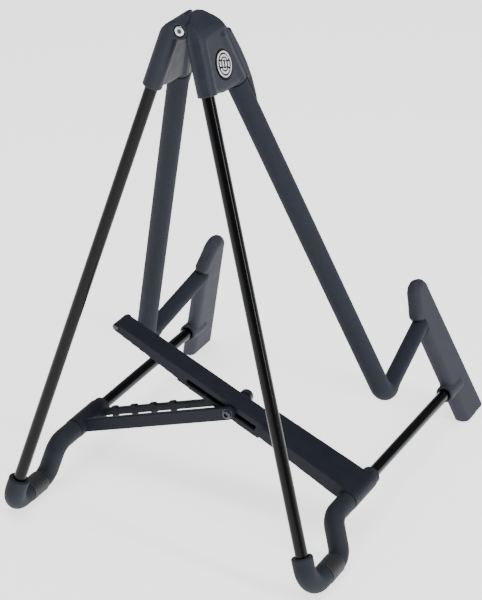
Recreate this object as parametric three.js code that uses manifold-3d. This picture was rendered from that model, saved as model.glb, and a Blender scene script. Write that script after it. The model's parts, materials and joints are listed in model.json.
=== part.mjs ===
// A folding A-frame stand for an electric guitar.
// Two mirrored halves hang from one hinge screw. Each half has a bent steel leg rod behind,
// a padded cradle in front, and a front post. A folding brace sets the width between them.
import * as THREE from 'three';
import { mergeVertices } from 'three/addons/utils/BufferGeometryUtils.js';
import Module from 'manifold-3d';

const wasm = await Module();
wasm.setup();

// ---------------------------------------------------------------- driving dimensions
// Millimetres and degrees. X is across the stand, +Y to its front, +Z up.
// In a half, u is the distance down the half's plane from the hinge axis.

const HINGE_HEIGHT = 339.2; // hinge axis above the floor
const FORWARD_DIP = 1.6; // the hinge axis dips to the front by this
const HALF_TILT = 16.9; // each half leans out from the vertical by this
const HALF_OFFSET = 7.1; // hinge axis to the middle plane of a half
const GAP = 0.3; // clearance between neighbouring pieces
const SIDES = 16; // facets round a cover
const BEND_STEPS = 5; // facets along a bend

const ROD_RADIUS = 4;
const ROD_Y_AT_HINGE = 5.3; // rear rod's line, at the level of the hinge
const ROD_LEAN = 7.4; // rear rod leans to the rear
const ROD_TOP = 16; // u of the rod's top end
const FLOOR_BEND = 13.5; // bend radius at the rear foot
const RISE_BEND = 7.8; // bend radii of the step up to the brace run
const RISE_Y = 5; // where the rod leaves the floor run
const RISE_LEAN_Y = 4; // how far it moves forward as it rises
const RUN_RISE = 26; // floor run to brace run, along the half's plane

const RING_RADIUS = 7.3; // ribbed floor ring, the lowest part at the rear
const RING_FLAT = 0.3; // depth of its flat contact face, at mid-length
const RING_REAR_Y = -19;
const RING_LENGTH = 16;
const FOOT_RADIUS = 6.9;
const FOOT_UP = 23; // the foot reaches this far above the floor run
const SLEEVE_RADIUS = 6.65;

const COVER_RADIUS = 6.7; // padding on the cradle's tube
const ARM_COVER_RADIUS = 5.8; // padding on its seat arm
const TUBE_Y_AT_HINGE = 21.7; // cradle tube's line, at the level of the hinge
const TUBE_LEAN = 16.95; // cradle tube leans to the front
const TUBE_TOP = 19; // u of the core rod's top end
const SEAT_RISE = 62.3; // corner of the cradle above the floor run, along the plane
const SEAT_BEND = 9.5; // bend radius of the corner
const ARM_RISE = 15.9; // the seat arm rises to the front by this angle

const POST_Y = 198; // post's line, at the level of the seat corner
const POST_LEAN = 16.7;
const POST_WIDTH = 30.5; // front to back
const POST_THICKNESS = 10;
const POST_ROUND = 4.4;
const PRONG_HEIGHT = 50; // prong top above the seat corner, along the plane
const PRONG_HEEL = 27.5; // height of the prong's heel above the seat corner
const PRONG_TOP_WIDTH = 22;
const HEEL_STEP = 1.5; // the prong's heel overhangs the seat arm by this
const BOSS_RADIUS = 6.2;
const BOSS_LENGTH = 8; // boss in front of the post's rear face

const SOCKET_RADIUS = 6.2; // housing's socket round the rear rod
const SOCKET_END = 41.2; // u of its mouth
const WEB_OUTER = 12.9; // outer and inner faces of the housing's web
const WEB_INNER = 2.4;
const TUBE_SOCKET_END = 43.2; // u where the cover takes over from the housing
const KNUCKLE_RADIUS = 5.9;
const KNUCKLE_SPLIT = 12; // y where the left knuckle meets the right one
const KNUCKLE_END = 25.2;
const WEB_ROUND = 2.5;
const SPINE_RADIUS = 5.2;
const CREST_DROP = 12; // the crest curves down to this u at the outer face
const BADGE_RADIUS = 8.9;
const BADGE_THICKNESS = 1.4;
const BADGE_Y = 17.5;
const BADGE_U = 27.5;
const BADGE_PROUD = 0.5;

const SCREW_RADIUS = 2;
const SCREW_HEAD_RADIUS = 3.3;
const SCREW_HEAD_LENGTH = 4;
const HEX_RADIUS = 1.75; // hexagon socket, centre to corner
const NUT_RADIUS = 3.9; // centre to corner
const NUT_LENGTH = 4.4;
const WASHER_RADIUS = 3.9;
const WASHER_THICKNESS = 0.8;

const HUB_REAR_Y = 29.5; // rear end of the brace's hubs
const HUB_LENGTH = 32;
const BUSH_RADIUS = 5.4;
const BUSH_PROUD = 5.5; // bush collar showing in front of the hub
const COLLAR_RADIUS = 6.2;
const HUB_WALL = 1.3;
const BEAM_RAISE = 24.2; // raised beam above the horizontal
const BEAM_TOP = 5.6; // beam's top face above the hub's axis
const BEAM_WIDTH = 16;
const BEAM_HEIGHT = 5.6; // at the free end; it deepens towards the hub
const BEAM_DEPTH = 8.6; // where its skirt starts
const BEAM_WALL = 2;
const SKIRT_STEP = 1.1; // the skirt hangs this much lower
const SKIRT_DEPTH = 11.6; // at the sleeve's mouth
const SKIRT_LENGTH = 55; // free end to the start of the deeper part
const SLEEVE_WIDTH = 24.5; // at its mouth
const SLEEVE_ROOT_WIDTH = 28;
const SLEEVE_TOP = 6.7; // above the hub's axis
const SLEEVE_HEIGHT = 7.8; // at its mouth
const SLEEVE_ROOT_HEIGHT = 10.8;
const SLEEVE_REACH = 71; // hub axis to the mouth of the beam's sleeve
const SLOT_HEIGHT = 3;
const SLOT_RISE = -0.2; // slot's middle line above the hub's axis
const FORK_RAISE = 18.9;
const ARM_HEIGHT = 8.8; // plain arm, at the rear
const RAIL_HEIGHT = 4.8; // ribbed arm, at the front
const ARM_THICKNESS = 3.6;
const FORK_INNER = 16.8; // between the fork's arms
const RIB_PITCH = 15.8; // latch ribs on the far arm
const RIB_FIRST = 18.4; // fork's axis to the first rib
const RIB_COUNT = 4;
const RIB_WIDTH = 4.8;
const RIB_STAND = 1; // rib above and below the arm
const LATCH_RADIUS = 2;
const LATCH_FIRST = 12.4; // fork's axis to the first latch position
const LATCH_PROUD = 0.6; // latch pin stands out behind the beam
const LATCH_HOLD = 1; // latch pin reaches over the ribbed arm by this
const BEAM_START = 3.3; // hub's barrel to the beam's hidden end
const BRIDGE_PROUD = 1.6; // fork's bridge beyond the barrel
const FORK_SCREW_RADIUS = 2.9;
const FORK_HEAD_LENGTH = 1.8;
const FORK_NUT_RADIUS = 4.7; // boss in front of the ribbed arm
const FORK_NUT_LENGTH = 5.5;

// The spine's middle line in (y, u), from the crest down along the front of the cradle tube.
const SPINE_LINE = [[34.3, 12.3], [36.4, 17.5], [39.6, 26], [42.2, 36], [43.3, 45], [43, 53], [42, 60]];

// ---------------------------------------------------------------- worked-out places

const tilt = THREE.MathUtils.degToRad(HALF_TILT);
const dip = THREE.MathUtils.degToRad(FORWARD_DIP);
const ringMiddleY = RING_REAR_Y + RING_LENGTH / 2;
const slopeOf = (degrees) => Math.tan(THREE.MathUtils.degToRad(degrees));
const runCentre = RING_RADIUS - RING_FLAT; // height of the floor run's centre line
const floorRunU = (HINGE_HEIGHT + HALF_OFFSET * Math.sin(tilt) - runCentre) / Math.cos(tilt);
const braceRunU = floorRunU - RUN_RISE;
const seatU = floorRunU - SEAT_RISE;
const rodY = (u) => ROD_Y_AT_HINGE - u * slopeOf(ROD_LEAN);
const tubeY = (u) => TUBE_Y_AT_HINGE + u * slopeOf(TUBE_LEAN);
const postY = (u) => POST_Y + (u - seatU) * slopeOf(POST_LEAN);
const armU = (y) => seatU - (y - tubeY(seatU)) * slopeOf(ARM_RISE);
const postHalf = POST_WIDTH / 2 / Math.cos(THREE.MathUtils.degToRad(POST_LEAN));
const postRear = (u) => postY(u) - postHalf;
const postFront = (u) => postY(u) + postHalf;
const armEndY = postRear(armU(POST_Y - postHalf)) + 5; // the cover ends inside the post
const coreEndY = armEndY + 9;
const rodEndY = postRear(braceRunU) + 7;
const hubFrontY = HUB_REAR_Y + HUB_LENGTH;
const braceY = HUB_REAR_Y + HUB_LENGTH / 2;

// Brace pivots in the stand's own frame (x, z). The left one is the mirror image.
const pivotX = HALF_OFFSET * Math.cos(tilt) + braceRunU * Math.sin(tilt);
const pivotZ = HINGE_HEIGHT + HALF_OFFSET * Math.sin(tilt) - braceRunU * Math.cos(tilt);
const span = 2 * pivotX;

// The fork's screws lie where its own line crosses the middle line of the raised beam.
const beamAngle = THREE.MathUtils.degToRad(BEAM_RAISE);
const forkAngle = THREE.MathUtils.degToRad(FORK_RAISE);
const forkLength = (span * Math.sin(beamAngle) + SLOT_RISE) / Math.sin(beamAngle + forkAngle);
const latchReach = span - LATCH_FIRST;
const latchRise = BEAM_TOP - BEAM_HEIGHT / 2;
const beamLength = latchReach + BEAM_HEIGHT / 2;
const slotPlay = SCREW_RADIUS + 0.4;
const slotNear = span - forkLength - slotPlay - 2.5;
const slotFar = span - forkLength + (RIB_COUNT - 1) * RIB_PITCH + slotPlay;
const hubRadius = BUSH_RADIUS + GAP + HUB_WALL;

// ---------------------------------------------------------------- helpers

// A line through listed points, sampled at exactly those points.
class BentLine extends THREE.Curve {
  constructor(points) {
    super();
    this.points = points;
  }

  getPoint(t, target = new THREE.Vector3()) {
    const place = Math.min(Math.max(t, 0), 1) * (this.points.length - 1);
    const index = Math.min(Math.floor(place), this.points.length - 2);
    return target.lerpVectors(this.points[index], this.points[index + 1], place - index);
  }

  getPointAt(t, target) {
    return this.getPoint(t, target);
  }

  // At a listed point the section lies halfway between its two neighbours.
  getTangentAt(t, target = new THREE.Vector3()) {
    const last = this.points.length - 1;
    const index = Math.round(t * last);
    const here = this.points[index];
    const before = this.points[Math.max(index - 1, 0)];
    const after = this.points[Math.min(index + 1, last)];
    const arrive = here.clone().sub(before).normalize();
    const leave = after.clone().sub(here).normalize();
    return target.addVectors(arrive, leave).normalize();
  }
}

// Rounds each inner corner with its own radius and returns the points of the whole line.
function bentPoints(corners, radii) {
  const points = [corners[0]];
  for (let i = 1; i < corners.length - 1; i += 1) {
    const back = corners[i - 1].clone().sub(corners[i]).normalize();
    const on = corners[i + 1].clone().sub(corners[i]).normalize();
    const half = back.angleTo(on) / 2;
    const centre = back.clone().add(on).setLength(radii[i - 1] / Math.sin(half)).add(corners[i]);
    const start = back.clone().multiplyScalar(radii[i - 1] / Math.tan(half)).add(corners[i]);
    const axis = back.clone().cross(on).normalize();
    const turn = Math.PI - 2 * half;
    for (let k = 0; k <= BEND_STEPS; k += 1) {
      const spoke = start.clone().sub(centre);
      points.push(spoke.applyAxisAngle(axis, (-turn * k) / BEND_STEPS).add(centre));
    }
  }
  points.push(corners[corners.length - 1]);
  return points;
}

// Keeps the part of a bent line whose points pass the test, with exact ends added.
function cutLine(points, isInside, first, last) {
  const kept = points.filter(isInside);
  if (first) kept.unshift(first);
  if (last) kept.push(last);
  return kept;
}

function ringShape(outer, inner) {
  const shape = new THREE.Shape();
  shape.absarc(0, 0, outer, 0, 2 * Math.PI);
  if (inner > 0) {
    const hole = new THREE.Path();
    hole.absarc(0, 0, inner, 0, 2 * Math.PI, true);
    shape.holes.push(hole);
  }
  return shape;
}

// A round bar, or a tube when inner is over 0, along a bent line.
function tubeAlong(points, outer, inner = 0, sides = SIDES) {
  const settings = { steps: points.length - 1, extrudePath: new BentLine(points) };
  return new THREE.ExtrudeGeometry(ringShape(outer, inner), { ...settings, curveSegments: sides / 2 });
}

function barBetween(from, to, radius, sides = SIDES) {
  return tubeAlong([from, to], radius, 0, sides);
}

// A plate of an outline drawn in (y, u), lying in the half's plane from x = low to x = high.
function plate(outline, low, high, round = 0) {
  const shape = new THREE.Shape(outline.map(([y, u]) => new THREE.Vector2(y, -u)));
  const bevel = { bevelEnabled: round > 0, bevelThickness: round, bevelSize: round, bevelOffset: -round };
  const depth = high - low - 2 * round;
  const geometry = new THREE.ExtrudeGeometry(shape, { depth, ...bevel, bevelSegments: 3, curveSegments: 8 });
  geometry.translate(0, 0, low + round);
  geometry.applyMatrix4(new THREE.Matrix4().makeBasis(axisY, axisZ, axisX));
  return geometry;
}

const axisX = new THREE.Vector3(1, 0, 0);
const axisY = new THREE.Vector3(0, 1, 0);
const axisZ = new THREE.Vector3(0, 0, 1);
const inHalf = (y, u, x = HALF_OFFSET) => new THREE.Vector3(x, y, -u);

function box(low, high) {
  const size = high.map((value, i) => value - low[i]);
  const geometry = new THREE.BoxGeometry(...size);
  return geometry.translate(...low.map((value, i) => value + size[i] / 2));
}

// A prism along Y of an outline drawn in (x, z).
function prismAlongY(outline, y0, y1) {
  const shape = new THREE.Shape(outline.map(([x, z]) => new THREE.Vector2(x, z)));
  const geometry = new THREE.ExtrudeGeometry(shape, { depth: y1 - y0, bevelEnabled: false });
  geometry.applyMatrix4(new THREE.Matrix4().makeBasis(axisX, axisZ, axisY.clone().negate()));
  return geometry.translate(0, y1, 0);
}

// Points along part of an ellipse, from one angle to another.
function arcPoints(cx, cy, rx, ry, from, to, steps) {
  return Array.from({ length: steps + 1 }, (_, k) => {
    const angle = THREE.MathUtils.degToRad(from + ((to - from) * k) / steps);
    return [cx + rx * Math.cos(angle), cy + ry * Math.sin(angle)];
  });
}

// A round bar along Y, given by its ends and its place in x and z.
function pinAlongY(y0, y1, radius, x = 0, z = 0, sides = SIDES) {
  const geometry = new THREE.CylinderGeometry(radius, radius, y1 - y0, sides);
  return geometry.translate(x, (y0 + y1) / 2, z);
}

function solid(geometry) {
  const bare = geometry.clone();
  bare.deleteAttribute('normal');
  bare.deleteAttribute('uv');
  const merged = mergeVertices(bare, 1e-4);
  const mesh = new wasm.Mesh({
    numProp: 3,
    vertProperties: new Float32Array(merged.attributes.position.array),
    triVerts: new Uint32Array(merged.index.array),
  });
  mesh.merge();
  return new wasm.Manifold(mesh);
}

function fromSolid(manifold) {
  const mesh = manifold.getMesh();
  const geometry = new THREE.BufferGeometry();
  geometry.setAttribute('position', new THREE.BufferAttribute(mesh.vertProperties, 3));
  geometry.setIndex(new THREE.BufferAttribute(mesh.triVerts, 1));
  return geometry;
}

// Joins the first list of shapes and cuts away the second.
function carve(adds, cuts = []) {
  const whole = adds.map(solid).reduce((sum, piece) => sum.add(piece));
  return fromSolid(cuts.map(solid).reduce((rest, piece) => rest.subtract(piece), whole));
}

// Everything below the floor, seen from inside a tilted half.
function belowFloor() {
  const slab = box([-300, -150, -60], [300, 450, 0]);
  slab.translate(0, -ringMiddleY, 0).rotateX(dip).translate(0, ringMiddleY, -HINGE_HEIGHT);
  return slab.rotateY(tilt);
}

function mirrored(geometry) {
  const flipped = geometry.clone().applyMatrix4(new THREE.Matrix4().makeScale(-1, 1, 1));
  const index = flipped.index ?? indexFor(flipped);
  for (let i = 0; i < index.count; i += 3) {
    const keep = index.getX(i);
    index.setX(i, index.getX(i + 1));
    index.setX(i + 1, keep);
  }
  flipped.setIndex(index);
  return flipped;
}

function indexFor(geometry) {
  const count = geometry.attributes.position.count;
  return new THREE.BufferAttribute(Uint32Array.from({ length: count }, (_, i) => i), 1);
}

// ---------------------------------------------------------------- materials

const looks = {
  steel: { color: 0x0c0d10, roughness: 0.22, metalness: 0.6 },
  padding: { color: 0x3a3b40, roughness: 0.72, metalness: 0 },
  casing: { color: 0x2b2d33, roughness: 0.5, metalness: 0 },
  nylon: { color: 0x202126, roughness: 0.58, metalness: 0 },
  rubber: { color: 0x1d1e20, roughness: 0.85, metalness: 0 },
  chrome: { color: 0xc9ccd0, roughness: 0.15, metalness: 1 },
  emblem: { color: 0xb8bbc0, roughness: 0.35, metalness: 0.6 },
};

function named(name, geometry, look) {
  const mesh = new THREE.Mesh(geometry, new THREE.MeshStandardMaterial(looks[look]));
  mesh.name = name;
  return mesh;
}

// ---------------------------------------------------------------- one half

function legRodLine() {
  const corners = [
    inHalf(rodY(ROD_TOP), ROD_TOP),
    inHalf(rodY(floorRunU), floorRunU),
    inHalf(RISE_Y, floorRunU),
    inHalf(RISE_Y + RISE_LEAN_Y, braceRunU),
    inHalf(rodEndY, braceRunU),
  ];
  return bentPoints(corners, [FLOOR_BEND, RISE_BEND, RISE_BEND]);
}

function cradleLine() {
  const corners = [
    inHalf(tubeY(TUBE_TOP), TUBE_TOP),
    inHalf(tubeY(seatU), seatU),
    inHalf(coreEndY, armU(coreEndY)),
  ];
  return bentPoints(corners, [SEAT_BEND]);
}

function rearFoot() {
  const top = floorRunU - FOOT_UP;
  const points = cutLine(
    legRodLine(),
    (p) => -p.z > top && p.y < RING_REAR_Y - GAP,
    inHalf(rodY(top), top),
    inHalf(RING_REAR_Y - GAP, floorRunU),
  );
  return tubeAlong(points, FOOT_RADIUS, ROD_RADIUS + GAP);
}

function floorRing() {
  const ends = [inHalf(RING_REAR_Y, floorRunU), inHalf(RING_REAR_Y + RING_LENGTH, floorRunU)];
  return carve([tubeAlong(ends, RING_RADIUS, ROD_RADIUS + GAP)], [belowFloor()]);
}

function bendSleeve() {
  const start = RING_REAR_Y + RING_LENGTH + GAP;
  const end = HUB_REAR_Y - GAP;
  const points = cutLine(
    legRodLine(),
    (p) => p.y > start + 0.5 && p.y < end && -p.z > braceRunU - 1,
    inHalf(start, floorRunU),
    inHalf(end, braceRunU),
  );
  return tubeAlong(points, SLEEVE_RADIUS, ROD_RADIUS + GAP);
}

// The padding: a thick length on the tube and round the corner, a thinner one on the arm.
function cradleCover() {
  const top = TUBE_SOCKET_END + GAP;
  const line = cradleLine();
  const cornerEnd = line[line.length - 2];
  const tube = cutLine(line, (p) => -p.z > top && p.y <= cornerEnd.y, inHalf(tubeY(top), top));
  const whole = [...tube, inHalf(armEndY, armU(armEndY))];
  const bore = [inHalf(tubeY(top - 1), top - 1), ...tube.slice(1), inHalf(armEndY + 1, armU(armEndY + 1))];
  const shapes = [tubeAlong(tube, COVER_RADIUS), tubeAlong(whole, ARM_COVER_RADIUS)];
  return carve(shapes, [tubeAlong(bore, ROD_RADIUS + GAP)]);
}

function frontPost() {
  const topU = seatU - PRONG_HEIGHT;
  const heelU = seatU - PRONG_HEEL;
  const floorU = floorRunU + 12;
  const tip = PRONG_TOP_WIDTH / 2;
  const prongRear = postFront(topU) - PRONG_TOP_WIDTH;
  const crown = [];
  for (let k = 0; k <= 6; k += 1) {
    const turn = (Math.PI * k) / 6;
    crown.push([prongRear + tip * (1 + Math.cos(turn)), topU + tip * (1 - Math.sin(turn))]);
  }
  const outline = [
    [postFront(floorU), floorU],
    ...crown,
    [postRear(heelU) - HEEL_STEP, heelU],
    [postRear(heelU + 3), heelU + 3],
    [postRear(floorU), floorU],
  ];
  const low = HALF_OFFSET - POST_THICKNESS / 2;
  const body = plate(outline, low, low + POST_THICKNESS, POST_ROUND);
  const bossRear = postRear(braceRunU) - BOSS_LENGTH + 3;
  const boss = pinAlongY(bossRear, postY(braceRunU), BOSS_RADIUS, HALF_OFFSET, -braceRunU);
  const rodHole = pinAlongY(bossRear - 5, rodEndY + GAP, ROD_RADIUS + GAP, HALF_OFFSET, -braceRunU);
  const armAt = (y) => inHalf(y, armU(y));
  const seat = barBetween(armAt(postRear(seatU) - 20), armAt(armEndY + GAP), ARM_COVER_RADIUS + GAP);
  const core = barBetween(armAt(armEndY - 5), armAt(coreEndY + GAP), ROD_RADIUS + GAP);
  return carve([body, boss], [rodHole, seat, core, belowFloor()]);
}

// The housing's web between its two sockets, drawn in (y, u). Its crest is low where the other
// half's knuckle lies.
function webOutline(isRight) {
  const crest = isRight
    ? [[KNUCKLE_SPLIT, -KNUCKLE_RADIUS], [KNUCKLE_END - 1, -KNUCKLE_RADIUS], [KNUCKLE_END - 0.5, -3.8]]
    : [[2, -KNUCKLE_RADIUS], [KNUCKLE_SPLIT, -KNUCKLE_RADIUS], [KNUCKLE_SPLIT + 1.5, -3], [KNUCKLE_END, -3]];
  return [
    [0, -2],
    ...crest,
    [27.8, 0.7],
    [31.3, 5.2],
    [33.8, 9.2],
    [35.2, 12],
    ...SPINE_LINE.slice(1, -2),
    [tubeY(TUBE_SOCKET_END), TUBE_SOCKET_END],
    [25, TUBE_SOCKET_END + 0.5],
    [12, SOCKET_END + 2],
    [rodY(SOCKET_END), SOCKET_END - 1],
  ];
}

// The rounded spine in front of the web.
function spine() {
  const middle = (WEB_OUTER + WEB_INNER) / 2;
  return tubeAlong(SPINE_LINE.map(([y, u]) => inHalf(y, u, middle)), SPINE_RADIUS);
}

// What lies outside the curve from the knuckle's crest down to the outer face.
function crestCut() {
  const outer = HALF_OFFSET + SOCKET_RADIUS;
  const curve = arcPoints(0.5, -CREST_DROP, outer - 0.5, CREST_DROP + KNUCKLE_RADIUS, 0, 90, 6);
  return prismAlongY([...curve, [0.5, 30], [40, 30], [40, -CREST_DROP]], -30, 70);
}

function knuckle(y0, y1) {
  const barrel = pinAlongY(y0, y1, KNUCKLE_RADIUS, 0, 0, 24);
  const bridge = box([0, y0, -KNUCKLE_RADIUS], [HALF_OFFSET, y1, KNUCKLE_RADIUS]);
  return [barrel, bridge];
}

function housing(isRight) {
  const along = (lineY, from, to, radius) => barBetween(inHalf(lineY(from), from), inHalf(lineY(to), to), radius);
  const outside = [
    along(rodY, -2, SOCKET_END, SOCKET_RADIUS),
    along(tubeY, 10, TUBE_SOCKET_END, COVER_RADIUS),
    plate(webOutline(isRight), WEB_INNER, WEB_OUTER, WEB_ROUND),
    spine(),
  ];
  const inside = [
    along(rodY, ROD_TOP - GAP, SOCKET_END + 20, ROD_RADIUS + GAP),
    along(tubeY, TUBE_TOP - GAP, TUBE_SOCKET_END + 20, ROD_RADIUS + GAP),
    along(tubeY, TUBE_SOCKET_END, TUBE_SOCKET_END + 40, COVER_RADIUS + GAP),
    pinAlongY(-20, 60, SCREW_RADIUS + GAP),
    crestCut(),
  ];
  const around = (y0, y1, radius, sides) => pinAlongY(y0, y1, radius + GAP, 0, 0, sides);
  if (isRight) {
    const pocketY = KNUCKLE_END - NUT_LENGTH - WASHER_THICKNESS - 2 * GAP;
    const badgeFloor = WEB_OUTER + BADGE_PROUD - BADGE_THICKNESS - GAP;
    const badgeSeat = [inHalf(BADGE_Y, BADGE_U, badgeFloor), inHalf(BADGE_Y, BADGE_U, badgeFloor + 20)];
    inside.push(around(-20, KNUCKLE_SPLIT + GAP, KNUCKLE_RADIUS, 24));
    inside.push(around(pocketY, 60, NUT_RADIUS));
    inside.push(barBetween(...badgeSeat, BADGE_RADIUS + GAP, 24));
    return carve([...outside, ...knuckle(KNUCKLE_SPLIT + GAP, KNUCKLE_END)], inside);
  }
  inside.push(around(KNUCKLE_SPLIT, 60, KNUCKLE_RADIUS, 24));
  inside.push(around(-20, SCREW_HEAD_LENGTH + GAP, SCREW_HEAD_RADIUS));
  return carve([...outside, ...knuckle(0, KNUCKLE_SPLIT)], inside);
}

function badge() {
  const back = WEB_OUTER + BADGE_PROUD - BADGE_THICKNESS;
  const front = WEB_OUTER + BADGE_PROUD;
  return barBetween(inHalf(BADGE_Y, BADGE_U, back), inHalf(BADGE_Y, BADGE_U, front), BADGE_RADIUS, 24);
}

function halfPieces(side) {
  const shape = side === 'right' ? (geometry) => geometry : mirrored;
  const pieces = [
    ['housing', housing(side === 'right'), 'casing'],
    ['leg_rod', tubeAlong(legRodLine(), ROD_RADIUS, 0, 12), 'steel'],
    ['cradle_core', tubeAlong(cradleLine(), ROD_RADIUS, 0, 12), 'steel'],
    ['cradle_cover', cradleCover(), 'padding'],
    ['front_post', frontPost(), 'padding'],
    ['rear_foot', rearFoot(), 'padding'],
    ['floor_ring', floorRing(), 'rubber'],
    ['bend_sleeve', bendSleeve(), 'padding'],
  ];
  const half = new THREE.Group();
  for (const [name, geometry, look] of pieces) {
    half.add(named(`${name}_${side}`, shape(geometry), look));
  }
  return half;
}

// ---------------------------------------------------------------- hinge hardware

function hexSocketScrew(headRadius, headLength, shankRadius, length) {
  const profile = [
    new THREE.Vector2(0, 0),
    new THREE.Vector2(headRadius - 0.4, 0),
    new THREE.Vector2(headRadius, 0.4),
    new THREE.Vector2(headRadius, headLength),
    new THREE.Vector2(shankRadius, headLength),
    new THREE.Vector2(shankRadius, length),
    new THREE.Vector2(0, length),
  ];
  const body = new THREE.LatheGeometry(profile, SIDES);
  const socket = new THREE.CylinderGeometry(HEX_RADIUS, HEX_RADIUS, headLength, 6);
  return carve([body], [socket]);
}

function nut() {
  const body = new THREE.CylinderGeometry(NUT_RADIUS, NUT_RADIUS, NUT_LENGTH, 6);
  const hole = new THREE.CylinderGeometry(SCREW_RADIUS + GAP, SCREW_RADIUS + GAP, NUT_LENGTH + 2, SIDES);
  return carve([body], [hole]).translate(0, KNUCKLE_END - NUT_LENGTH / 2, 0);
}

function washer(outer, inner, y0, y1) {
  return tubeAlong([new THREE.Vector3(0, y0, 0), new THREE.Vector3(0, y1, 0)], outer, inner);
}

function hingePieces() {
  const screw = hexSocketScrew(SCREW_HEAD_RADIUS, SCREW_HEAD_LENGTH, SCREW_RADIUS, KNUCKLE_END - 0.5);
  const washerFront = KNUCKLE_END - NUT_LENGTH - GAP;
  const ring = washer(WASHER_RADIUS, SCREW_RADIUS + GAP, washerFront - WASHER_THICKNESS, washerFront);
  const group = new THREE.Group();
  group.add(named('hinge_screw', screw, 'chrome'));
  group.add(named('hinge_washer', ring, 'chrome'));
  group.add(named('hinge_nut', nut(), 'chrome'));
  return group;
}

// ---------------------------------------------------------------- the brace
// Beam pieces are drawn along +X from the right pivot, with +Z up, then turned and mirrored.
// Fork pieces are drawn along +X from the left pivot.

// A bush on the brace run, with a wider collar in front of the hub.
function pivotBush() {
  const shift = new THREE.Vector3(0, HUB_REAR_Y, 0);
  const front = hubFrontY + BUSH_PROUD;
  const body = tubeAlong([shift, new THREE.Vector3(0, front, 0)], BUSH_RADIUS, ROD_RADIUS + GAP);
  const collarEnds = [new THREE.Vector3(0, hubFrontY + GAP, 0), new THREE.Vector3(0, front, 0)];
  return carve([body, tubeAlong(collarEnds, COLLAR_RADIUS, ROD_RADIUS + GAP)]);
}

function braceHub() {
  const mouth = [[SLEEVE_REACH, SLEEVE_TOP], [SLEEVE_REACH, SLEEVE_TOP - SLEEVE_HEIGHT]];
  const outline = [[0, SLEEVE_TOP], ...mouth, [0, SLEEVE_TOP - SLEEVE_ROOT_HEIGHT]];
  const sleeve = prismAlongY(outline, -0.5, 0.5);
  const place = sleeve.attributes.position;
  for (let i = 0; i < place.count; i += 1) {
    const width = THREE.MathUtils.lerp(SLEEVE_ROOT_WIDTH, SLEEVE_WIDTH, place.getX(i) / SLEEVE_REACH);
    place.setY(i, braceY + place.getY(i) * width);
  }
  const barrel = pinAlongY(HUB_REAR_Y, hubFrontY, hubRadius, 0, 0, 20);
  const inner = BEAM_WIDTH / 2 + GAP;
  const low = [hubRadius + BEAM_START - GAP, braceY - inner, -SKIRT_DEPTH];
  const cavity = box(low, [SLEEVE_REACH + 1, braceY + inner, BEAM_TOP + GAP]);
  const bore = pinAlongY(HUB_REAR_Y - 1, hubFrontY + 1, BUSH_RADIUS + GAP);
  return carve([barrel, sleeve], [cavity, bore]);
}

// The beam's side view in (x, z): a rounded free end, then two steps down towards the hub.
function beamOutline() {
  const skirtEnd = beamLength - SKIRT_LENGTH;
  const start = hubRadius + BEAM_START;
  const tip = arcPoints(latchReach, latchRise, BEAM_HEIGHT / 2, BEAM_HEIGHT / 2, 90, -90, 6);
  return [
    [start, BEAM_TOP],
    ...tip,
    [skirtEnd, BEAM_TOP - BEAM_DEPTH],
    [skirtEnd, BEAM_TOP - BEAM_DEPTH - SKIRT_STEP],
    [SLEEVE_REACH + 4, BEAM_TOP - SKIRT_DEPTH],
    [SLEEVE_REACH + 4, SLEEVE_TOP - SLEEVE_HEIGHT],
    [start, SLEEVE_TOP - SLEEVE_HEIGHT],
  ];
}

function braceBeam() {
  const half = BEAM_WIDTH / 2;
  const inner = half - BEAM_WALL;
  const channelStart = [hubRadius + BEAM_START + BEAM_WALL, braceY - inner, -2 * SKIRT_DEPTH];
  const channelEnd = [latchReach - BEAM_HEIGHT, braceY + inner, BEAM_TOP - BEAM_WALL];
  const slotStart = [slotNear, braceY - half - 1, SLOT_RISE - SLOT_HEIGHT / 2];
  const slotEnd = [slotFar, braceY + half + 1, SLOT_RISE + SLOT_HEIGHT / 2];
  const hole = pinAlongY(braceY - half - 1, braceY + half + 1, LATCH_RADIUS + GAP, latchReach, latchRise);
  const body = prismAlongY(beamOutline(), braceY - half, braceY + half);
  return carve([body], [box(channelStart, channelEnd), box(slotStart, slotEnd), hole]);
}

function latchPin() {
  const rear = braceY - BEAM_WIDTH / 2 - LATCH_PROUD;
  const front = braceY + FORK_INNER / 2 + LATCH_HOLD;
  return pinAlongY(rear, front, LATCH_RADIUS, latchReach, latchRise);
}

// A plain arm at the rear and a ribbed one at the front, joined by the hub and a flat bridge.
function fork() {
  const inner = FORK_INNER / 2;
  const outer = inner + ARM_THICKNESS;
  const shapes = [
    pinAlongY(HUB_REAR_Y, hubFrontY, hubRadius, 0, 0, 20),
    box([0, braceY - outer, -ARM_HEIGHT / 2], [hubRadius + BRIDGE_PROUD, braceY + outer, RAIL_HEIGHT / 2]),
  ];
  const cuts = [pinAlongY(HUB_REAR_Y - 1, hubFrontY + 1, BUSH_RADIUS + GAP)];
  for (const [low, high, height] of [[-outer, -inner, ARM_HEIGHT], [inner, outer, RAIL_HEIGHT]]) {
    shapes.push(box([0, braceY + low, -height / 2], [forkLength, braceY + high, height / 2]));
    shapes.push(pinAlongY(braceY + low, braceY + high, ARM_HEIGHT / 2, forkLength, 0));
    cuts.push(pinAlongY(braceY + low - 1, braceY + high + 1, SCREW_RADIUS + GAP, forkLength, 0));
  }
  for (let i = 0; i < RIB_COUNT; i += 1) {
    const x = RIB_FIRST + i * RIB_PITCH;
    const rise = RAIL_HEIGHT / 2 + RIB_STAND;
    const low = [x - RIB_WIDTH / 2, braceY + inner, -rise];
    shapes.push(box(low, [x + RIB_WIDTH / 2, braceY + outer, rise]));
  }
  return carve(shapes, cuts);
}

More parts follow.
